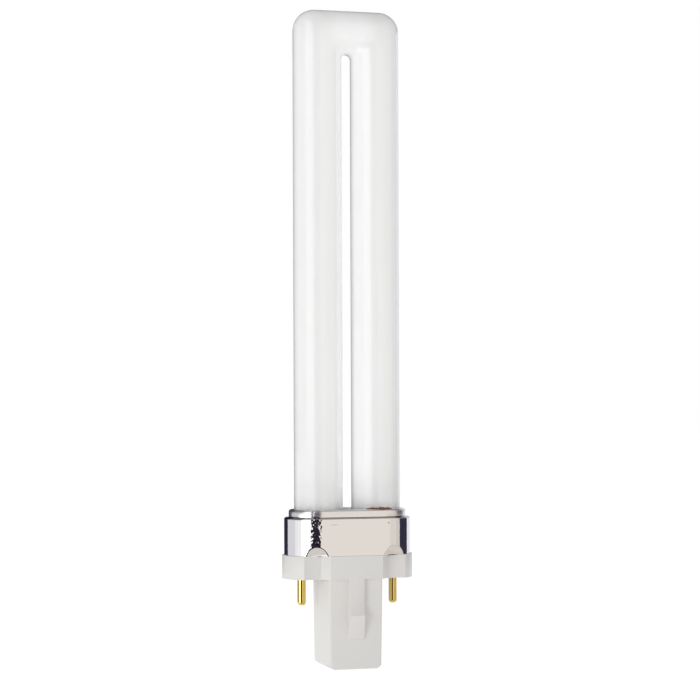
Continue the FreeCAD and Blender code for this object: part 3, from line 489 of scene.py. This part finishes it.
material, tree, shader = begin_material("deep_drawn_bright_aluminium")
place = add_node(tree, "ShaderNodeTexCoord").outputs["Object"]
drawn = add_node(
    tree, "ShaderNodeMapping", {"Vector": place, "Scale": drawn_up}
).outputs["Vector"]
spot = add_node(tree, "ShaderNodeSeparateXYZ", {"Vector": place}).outputs
wrinkles = add_node(
    tree,
    "ShaderNodeTexNoise",
    {"Vector": place, "Scale": 1 / wrinkle_size, "Detail": 1.0, "Roughness": 0.5},
).outputs["Fac"]
off_turn = add_node(
    tree, "ShaderNodeMath", {0: spot["X"], 1: wrinkled_x}, operation="SUBTRACT"
).outputs[0]
off_turn = add_node(tree, "ShaderNodeMath", {0: off_turn}, operation="ABSOLUTE").outputs[0]
at_turn = add_node(
    tree,
    "ShaderNodeMapRange",
    {"Value": off_turn, "From Min": wrinkled_reach, "From Max": wrinkled_edge,
     "To Min": 1.0, "To Max": 0.04},
    interpolation_type="SMOOTHSTEP",
).outputs["Result"]
off_crimp = add_node(
    tree,
    "ShaderNodeMapRange",
    {"Value": spot["Z"], "From Min": crimp_top, "From Max": wrinkle_foot},
).outputs["Result"]
at_turn = add_node(
    tree, "ShaderNodeMath", {0: at_turn, 1: off_crimp}, operation="MULTIPLY"
).outputs[0]
lines = add_node(
    tree,
    "ShaderNodeTexNoise",
    {"Vector": drawn, "Scale": 1 / line_size, "Detail": 1.0},
).outputs["Fac"]
wrinkled = add_node(
    tree,
    "ShaderNodeBump",
    {"Height": wrinkles, "Strength": at_turn, "Distance": wrinkle_depth},
).outputs["Normal"]
bump = add_node(
    tree,
    "ShaderNodeBump",
    {"Height": lines, "Strength": 0.15, "Distance": line_depth, "Normal": wrinkled},
).outputs["Normal"]

# the rolled rim is duller than the band, and painted shade darkens the groove under it
dull_foot, dull_full = 36.3 * mm, 36.7 * mm
groove_shade_middle, groove_shade_reach, groove_shade_edge = 36.23 * mm, 0.1 * mm, 0.26 * mm
on_rim = add_node(
    tree,
    "ShaderNodeMapRange",
    {"Value": spot["Z"], "From Min": dull_foot, "From Max": dull_full,
     "To Min": 0.06, "To Max": 0.28},
).outputs["Result"]
off_groove = add_node(
    tree, "ShaderNodeMath", {0: spot["Z"], 1: groove_shade_middle}, operation="SUBTRACT"
).outputs[0]
off_groove = add_node(tree, "ShaderNodeMath", {0: off_groove}, operation="ABSOLUTE").outputs[0]
# painted shade: the groove under the rim is darkened toward its middle
painted_groove_shade = add_node(
    tree,
    "ShaderNodeMapRange",
    {"Value": off_groove, "From Min": groove_shade_reach, "From Max": groove_shade_edge,
     "To Min": 0.5, "To Max": 0.0},
    interpolation_type="SMOOTHSTEP",
).outputs["Result"]
groove_shaded = add_node(
    tree,
    "ShaderNodeMix",
    {0: painted_groove_shade, 6: linear("#F1EFEE"), 7: linear("#3A3840")},
    data_type="RGBA",
).outputs[2]

# two marks of handling on the front: a nick near the right end, a level scratch near the left
nick_place, nick_size, nick_shade = (8.1 * mm, -band_radius, 35.0 * mm), 0.26 * mm, 0.8
scratch_place = (-5.5 * mm, -band_radius, 34.7 * mm)
scratch_size, scratch_shade = 0.13 * mm, 0.4
scratch_squeeze = (0.1, 1.0, 1.0)        # makes a scratch ten times as long as it is high
full_shade = 0.3        # the inner share of a mark's size that is darkest
squeezed = add_node(
    tree, "ShaderNodeVectorMath", {0: place, 1: scratch_squeeze}, operation="MULTIPLY"
).outputs["Vector"]
marked = groove_shaded
for where, centre, size, shade in (
    (place, nick_place, nick_size, nick_shade),
    (squeezed, np.multiply(scratch_place, scratch_squeeze), scratch_size, scratch_shade),
):
    off_mark = add_node(
        tree, "ShaderNodeVectorMath", {0: where, 1: centre}, operation="DISTANCE"
    ).outputs["Value"]
    mark = add_node(
        tree,
        "ShaderNodeMapRange",
        {"Value": off_mark, "From Min": full_shade * size, "From Max": size,
         "To Min": shade, "To Max": 0.0},
    ).outputs["Result"]
    marked = add_node(
        tree, "ShaderNodeMix", {0: mark, 6: marked, 7: linear("#5A5048")}, data_type="RGBA"
    ).outputs[2]
tree.links.new(bump, shader.inputs["Normal"])
tree.links.new(on_rim, shader.inputs["Roughness"])
tree.links.new(marked, shader.inputs["Base Color"])
shader.inputs["Metallic"].default_value = 1.0
collar.data.materials.append(material)
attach(collar, "root")
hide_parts("metal_collar")


# ---------------------------------------------------------------- base moulding
# One shot of white heat-resistant plastic: flange with four notches for the crimping tool,
# hollow plug, and on each broad side a latch rib with a nose that snaps into the holder.

edge_round = 0.22 * mm
flat_within, edge_from = math.radians(0.6), math.radians(28)

# the CAD solid's own shape: its flat faces are made whole, and its edges are rounded
base_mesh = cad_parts["base_moulding"].data.copy()
base_mesh.name = "moulded_base"
base_mesh.materials.clear()
shell = bmesh.new()
shell.from_mesh(base_mesh)
bmesh.ops.remove_doubles(shell, verts=shell.verts, dist=0.001 * mm)
bmesh.ops.dissolve_limit(
    shell, angle_limit=flat_within, verts=shell.verts, edges=shell.edges
)
shell.to_mesh(base_mesh)
shell.free()
base_mesh.shade_smooth()
base = bpy.data.objects.new("moulded_base", base_mesh)
bpy.context.scene.collection.objects.link(base)
rounding = base.modifiers.new("edge_rounding", "BEVEL")
rounding.width = edge_round
rounding.segments = 3
rounding.limit_method = "ANGLE"
rounding.angle_limit = edge_from
rounding.harden_normals = True

# Injection moulded plastic: a soft sheen over a faint orange-peel from the mould's sparked
# steel, and a slight yellowing where it has aged. The peel is drawn coarse enough to show.
aged_patch, peel_size, peel_depth = 12 * mm, 0.35 * mm, 0.02 * mm

material, tree, shader = begin_material("injection_moulded_white_plastic")
place = add_node(tree, "ShaderNodeTexCoord").outputs["Object"]
ageing = add_node(
    tree, "ShaderNodeTexNoise", {"Vector": place, "Scale": 1 / aged_patch, "Detail": 2.0}
).outputs["Fac"]
aged = add_node(
    tree,
    "ShaderNodeMix",
    {0: ageing, 6: linear("#DAD7D3"), 7: linear("#DCDAD8")},
    data_type="RGBA",
).outputs[2]
sparked = add_node(
    tree,
    "ShaderNodeTexNoise",
    {"Vector": place, "Scale": 1 / peel_size, "Detail": 2.0},
).outputs["Fac"]
bump = add_node(
    tree, "ShaderNodeBump", {"Height": sparked, "Strength": 0.2, "Distance": peel_depth}
).outputs["Normal"]
tree.links.new(aged, shader.inputs["Base Color"])
tree.links.new(bump, shader.inputs["Normal"])
shader.inputs["Roughness"].default_value = 0.36
shader.inputs["IOR"].default_value = 1.49
base.data.materials.append(material)
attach(base, "root")
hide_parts("base_moulding")


# ---------------------------------------------------------------- contact pins
# Two turned brass pins with rounded tips. A thicker shank is held in the flange, a head sits
# inside it, and the lead from the glass is crimped in a bore.

pin_x = 11.5 * mm
pin_radius, shank_radius, head_radius, bore_radius = 1.0 * mm, 1.2 * mm, 1.5 * mm, 0.5 * mm
pin_tip, pin_root, head_foot, head_top = 15.0 * mm, 21.6 * mm, 23.6 * mm, 24.1 * mm
bore_floor = 22.0 * mm
tip_round, tip_step = 0.7 * mm, 0.1 * mm

# a row one tip_step above the tip's round keeps it out of the shaft's shading
tip_arc = np.linspace(0, np.pi / 2, 9)
pin_radii = [
    0, *(pin_radius - tip_round + tip_round * np.sin(tip_arc)), pin_radius, pin_radius,
    shank_radius, shank_radius, head_radius, head_radius, bore_radius, bore_radius, 0,
]
pin_levels = [
    pin_tip, *(pin_tip + tip_round - tip_round * np.cos(tip_arc)),
    pin_tip + tip_round + tip_step, pin_root,
    pin_root, head_foot, head_foot, head_top, head_top, bore_floor, bore_floor,
]

# Turned brass, rubbed bright: gold, with turning marks that are drawn coarse enough to show,
# and dulled in places by touch
mark_size, mark_depth, touch_size = 0.2 * mm, 0.01 * mm, 1.5 * mm
turned_round = (0.25, 0.25, 1.0)

material, tree, shader = begin_material("turned_brass")
place = add_node(tree, "ShaderNodeTexCoord").outputs["Object"]
turning = add_node(
    tree, "ShaderNodeMapping", {"Vector": place, "Scale": turned_round}
).outputs["Vector"]
marks = add_node(
    tree,
    "ShaderNodeTexNoise",
    {"Vector": turning, "Scale": 1 / mark_size, "Detail": 2.0},
).outputs["Fac"]
touched = add_node(
    tree, "ShaderNodeTexNoise", {"Vector": place, "Scale": 1 / touch_size, "Detail": 2.0}
).outputs["Fac"]
tarnish = add_node(
    tree,
    "ShaderNodeMix",
    {0: touched, 6: linear("#E2C26C"), 7: linear("#EED488")},
    data_type="RGBA",
).outputs[2]
dulled = add_node(
    tree,
    "ShaderNodeMapRange",
    {"Value": touched, "From Min": 0.3, "From Max": 0.7, "To Min": 0.05, "To Max": 0.1},
).outputs["Result"]
bump = add_node(
    tree, "ShaderNodeBump", {"Height": marks, "Strength": 0.06, "Distance": mark_depth}
).outputs["Normal"]
tree.links.new(tarnish, shader.inputs["Base Color"])
tree.links.new(dulled, shader.inputs["Roughness"])
tree.links.new(bump, shader.inputs["Normal"])
shader.inputs["Metallic"].default_value = 1.0
for side, sign in (("left", -1), ("right", 1)):
    pin = piece_of(f"brass_pin_{side}", [turned(pin_radii, pin_levels, sign * pin_x)])
    pin.data.materials.append(material)
    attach(pin, "root")
    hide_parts(f"contact_pin_{side}")


# ---------------------------------------------------------------- starter circuit
# Hidden in the base: the glow starter in its blown glass bottle, a dipped capacitor, the
# nickel-iron lead wires, and the tinned sleeves that join them. Each keeps its CAD shape.

sleeves = [f"splice_sleeve_{side}" for side in ("left", "right")]
leads = [
    f"{kind}_lead_{side}"
    for kind in ("pin", "loop", "starter", "capacitor")
    for side in ("left", "right")
]

# Each finish drifts in soft blotches between two shades: name, size and detail of the blotches,
# the shades, what the shader is set to, and the CAD nodes that have it
for name, blotch, detail, deep, pale, settings, nodes in (
    # blown glass, clear with a grey cast that thins and thickens with the wall
    ("blown_clear_glass", 3 * mm, 1.0, "#E3ECEC", "#F2F6F6",
     {"Roughness": 0.04, "Transmission Weight": 0.85, "IOR": 1.5}, ["starter_bottle"]),
    # epoxy, dipped and cured: orange-brown and glossy, lighter where it ran thin
    ("dipped_epoxy", 2 * mm, 2.0, "#A8591F", "#C9772F",
     {"Roughness": 0.22}, ["suppression_capacitor"]),
    # brass tube, tinned by dipping: warm silver, yellower where the tin is thin
    ("tinned_brass_tube", 0.5 * mm, 2.0, "#BDB7A6", "#D6D3CB",
     {"Metallic": 1.0, "Roughness": 0.3}, sleeves),
    # nickel-iron wire, drawn: dull silver with a brown heat tint here and there
    ("drawn_nickel_iron_wire", 1.5 * mm, 2.0, "#A79C8E", "#C6C3BE",
     {"Metallic": 1.0, "Roughness": 0.35}, leads),
):
    material, tree, shader = begin_material(name)
    place = add_node(tree, "ShaderNodeTexCoord").outputs["Object"]
    blotches = add_node(
        tree, "ShaderNodeTexNoise", {"Vector": place, "Scale": 1 / blotch, "Detail": detail}
    ).outputs["Fac"]
    tint = add_node(
        tree,
        "ShaderNodeMix",
        {0: blotches, 6: linear(deep), 7: linear(pale)},
        data_type="RGBA",
    ).outputs[2]
    tree.links.new(tint, shader.inputs["Base Color"])
    for setting, value in settings.items():
        shader.inputs[setting].default_value = value
    for node in nodes:
        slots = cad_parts[node].data.materials
        slots.clear()
        slots.append(material)


# ---------------------------------------------------------------- studio
# A white table in an evenly lit white room, with one soft box on the left. Boards stand
# round the lamp, outside the picture, and are seen only in what its shiny parts reflect.

floor_half, floor_drop = 3.0, 0.05 * mm
table_white, table_glow_share = 0.85, 0.85
table_glow, table_shine = 0.91, 1.1
level_light, overhead_light, back_light = 0.89, 0.33, 0.6


def seen(tree):
    """1 for a ray that sees it straight, mirrored or through glass, 0 for one it lights."""
    ray = add_node(tree, "ShaderNodeLightPath").outputs
    straight_or_mirrored = add_node(
        tree,
        "ShaderNodeMath",
        {0: ray["Is Camera Ray"], 1: ray["Is Glossy Ray"]},
        operation="MAXIMUM",
    ).outputs[0]
    return add_node(
        tree,
        "ShaderNodeMath",
        {0: straight_or_mirrored, 1: ray["Is Transmission Ray"]},
        operation="MAXIMUM",
    ).outputs[0]


floor_mesh = bpy.data.meshes.new("table_top")
floor_mesh.from_pydata(
    [(-floor_half, -floor_half, -floor_drop), (floor_half, -floor_half, -floor_drop),
     (floor_half, floor_half, -floor_drop), (-floor_half, floor_half, -floor_drop)],
    [], [(0, 1, 2, 3)],
)
floor = bpy.data.objects.new("table_top", floor_mesh)
bpy.context.scene.collection.objects.link(floor)

# A matt white laminate. As it is seen, it glows a little, so that it is white up to the lamp's
# shadow; the light that it throws on the lamp is weaker.
material, tree, shader = begin_material("white_table")
shader.inputs["Base Color"].default_value = (table_white, table_white, table_white, 1.0)
shader.inputs["Roughness"].default_value = 1.0
shader.inputs["Specular IOR Level"].default_value = 0.0
as_seen = seen(tree)
share = add_node(
    tree,
    "ShaderNodeMapRange",
    {"Value": as_seen, "To Min": 1.0, "To Max": table_glow_share},
).outputs["Result"]
strength = add_node(
    tree,
    "ShaderNodeMapRange",
    {"Value": as_seen, "To Min": table_glow, "To Max": table_shine},
).outputs["Result"]
glow = add_node(tree, "ShaderNodeEmission", {"Strength": strength}).outputs[0]
blend = add_node(
    tree, "ShaderNodeMixShader", {0: share, 1: shader.outputs[0], 2: glow}
).outputs[0]
tree.links.new(blend, tree.nodes["Material Output"].inputs["Surface"])
floor_mesh.materials.append(material)

# the room: plain white as it is seen, and a soft light that is stronger from the sides than
# from above, and from behind than from in front
world = bpy.data.worlds.new("white_room")
world.use_nodes = True
bpy.context.scene.world = world
tree = world.node_tree
tree.nodes.clear()
direction = add_node(tree, "ShaderNodeTexCoord").outputs["Generated"]
toward = add_node(tree, "ShaderNodeSeparateXYZ", {"Vector": direction}).outputs
dimmer = add_node(
    tree,
    "ShaderNodeMapRange",
    {"Value": toward["Z"], "To Min": level_light, "To Max": overhead_light},
).outputs["Result"]
backlight = add_node(
    tree, "ShaderNodeMapRange", {"Value": toward["Y"], "To Min": 0.0, "To Max": back_light}
).outputs["Result"]
brightness = add_node(
    tree, "ShaderNodeMath", {0: dimmer, 1: backlight}, operation="ADD"
).outputs[0]
ambient = add_node(
    tree, "ShaderNodeBackground", {"Color": (1.0, 1.0, 1.0, 1.0), "Strength": brightness}
).outputs[0]
backdrop = add_node(
    tree, "ShaderNodeBackground", {"Color": (1.0, 1.0, 1.0, 1.0), "Strength": 1.0}
).outputs[0]
room = add_node(
    tree, "ShaderNodeMixShader", {0: seen(tree), 1: ambient, 2: backdrop}
).outputs[0]
add_node(tree, "ShaderNodeOutputWorld", {"Surface": room})


def around(degrees, distance, height):
    """A place round the lamp: 0 degrees is in front of it, 90 to its left."""
    turn = math.radians(degrees)
    return (-math.sin(turn) * distance, -math.cos(turn) * distance, height)


# the soft box: narrow, so that the nose of the latch rib throws a clear shadow
key_azimuth, key_distance, key_height = 52.0, 0.6, 0.07
lit = bpy.data.lights.new("key_soft_box", "AREA")
lit.shape = "RECTANGLE"
lit.size, lit.size_y = 0.22, 0.14
lit.energy = 0.94
lit.color = (0.98, 0.99, 1.0)
key = bpy.data.objects.new("key_soft_box", lit)
key.location = around(key_azimuth, key_distance, key_height)
key.rotation_euler = (math.pi / 2, 0, -math.radians(key_azimuth))
key.visible_glossy = False
bpy.context.scene.collection.objects.link(key)


def stage_board(name, grid, colour, strength):
    """A glowing board of a grid of points, seen by glossy rays alone."""
    board = piece_of(name, [grid])
    material = bpy.data.materials.new(name)
    material.use_nodes = True
    tree = material.node_tree
    tree.nodes.clear()
    glow = add_node(tree, "ShaderNodeEmission", {"Color": linear(colour), "Strength": strength})
    add_node(tree, "ShaderNodeOutputMaterial", {"Surface": glow.outputs[0]})
    board.data.materials.append(material)
    board.visible_camera = False
    board.visible_diffuse = False
    board.visible_shadow = False
    board.visible_transmission = False


# Upright boards: name, first and last angle round the lamp, lower and upper edge, colour, glow.
# What stands low shows in the collar, and what stands high in the glass.
board_distance, board_top, board_columns = 0.3, 0.5, 25
for name, start, stop, low, high, colour, strength in (
    ("soft_box_face", 36, 72, 0.0, board_top, "#FFFFFF", 1.25),
    ("soft_box_edge", 72, 84, 0.0, 0.045, "#FAFAFC", 1.0),
    ("pale_board_left", 84, 97, 0.0, 0.045, "#F4F4F8", 1.0),
    ("lilac_board_left", 97, 137, 0.0, 0.045, "#DEDFE6", 1.0),
    ("navy_board_left", 137, 196, 0.0, 0.045, "#2E2B3C", 1.0),
    ("grey_board_left", 72, 125, 0.045, board_top, "#85848B", 1.0),
    ("dark_board_left", 125, 196, 0.045, 0.215, "#26242E", 1.0),
    ("lilac_board_back", 196, 249, 0.0, 0.022, "#EFEFF8", 1.0),
    ("lilac_board_upper", 196, 249, 0.022, 0.215, "#DCDCE4", 1.0),
    ("navy_board_right", 249, 291, 0.0, 0.06, "#322F41", 1.0),
    ("grey_board_far_right", 249, 291, 0.06, board_top, "#7A7982", 1.0),
    ("grey_board_right", -69, -54, 0.0, board_top, "#D7D1CB", 1.0),
    ("beige_board_edge", -54, -30, 0.0, board_top, "#E2DCD5", 1.0),
    ("beige_board", -30, 3, 0.0, board_top, "#EDE7E0", 1.0),
    ("dark_board_front", 3, 34, 0.0, board_top, "#2B2440", 1.0),
    ("grey_board_back", 125, 249, 0.215, board_top, "#6A6A70", 1.0),
):
    turn = np.radians(np.linspace(start, stop, board_columns))
    rows = np.array([low, high])[:, None]
    x = -board_distance * np.sin(turn) + 0 * rows
    y = -board_distance * np.cos(turn) + 0 * rows
    stage_board(name, np.stack([x, y, rows + 0 * x], axis=-1), colour, strength)

# Level boards: name, first and last angle, inner and outer radius, height, colour, glow. One is
# overhead. The mats lie round the lamp's foot, where the crimps and the pins see them.
mat_level, mat_edge, mat_columns = 0.1 * mm, 0.15, 49
for name, start, stop, inner, outer, level, colour, strength in (
    ("grey_board_overhead", 0, 360, 0.0, 0.34, board_top, "#6A6A70", 1.0),
    ("grey_mat", -80, 80, 0.0, 0.042, mat_level, "#D9D5CF", 1.0),
    ("black_mat", 0, 40, 0.046, mat_edge, mat_level, "#0C0A12", 1.0),
    ("beige_mat", -100, 0, 0.042, mat_edge, mat_level, "#D6CDC5", 1.0),
    ("brown_mat_front", 4, 44, mat_edge, board_distance, mat_level, "#2E2614", 1.0),
    ("white_mat_left", 44, 90, mat_edge, board_distance, mat_level, "#FFFFFF", 3.4),
    ("grey_mat_left", 90, 200, mat_edge, board_distance, mat_level, "#94948C", 1.0),
    ("pale_mat_front", -25, 4, mat_edge, board_distance, mat_level, "#FFFAF2", 1.0),
    ("beige_mat_right", -100, -25, mat_edge, board_distance, mat_level, "#CFC8BE", 1.0),
):
    turn = np.radians(np.linspace(start, stop, mat_columns))
    rows = np.array([inner, outer])[:, None]
    x = -rows * np.sin(turn)
    y = -rows * np.cos(turn)
    stage_board(name, np.stack([x, y, level + 0 * x], axis=-1), colour, strength)

# the camera stands where the photo's did, and takes up part of the lamp's slight lean
camera_azimuth, camera_distance, camera_height = 16.0, 0.515, 0.0645
camera_roll = 0.2        # degrees
view = bpy.data.cameras.new("photo_view")
view.lens, view.sensor_width = 109.1, 36.0
view.shift_x, view.shift_y = 0.0046, 0.0714
view.clip_start, view.clip_end = 0.01, 20.0
camera = bpy.data.objects.new("photo_view", view)
camera.location = around(camera_azimuth, camera_distance, camera_height)
camera.rotation_euler = (
    math.pi / 2, math.radians(camera_roll), -math.radians(camera_azimuth)
)
bpy.context.scene.collection.objects.link(camera)
bpy.context.scene.camera = camera
bpy.context.scene.view_settings.view_transform = "Standard"

bpy.context.view_layer.update()
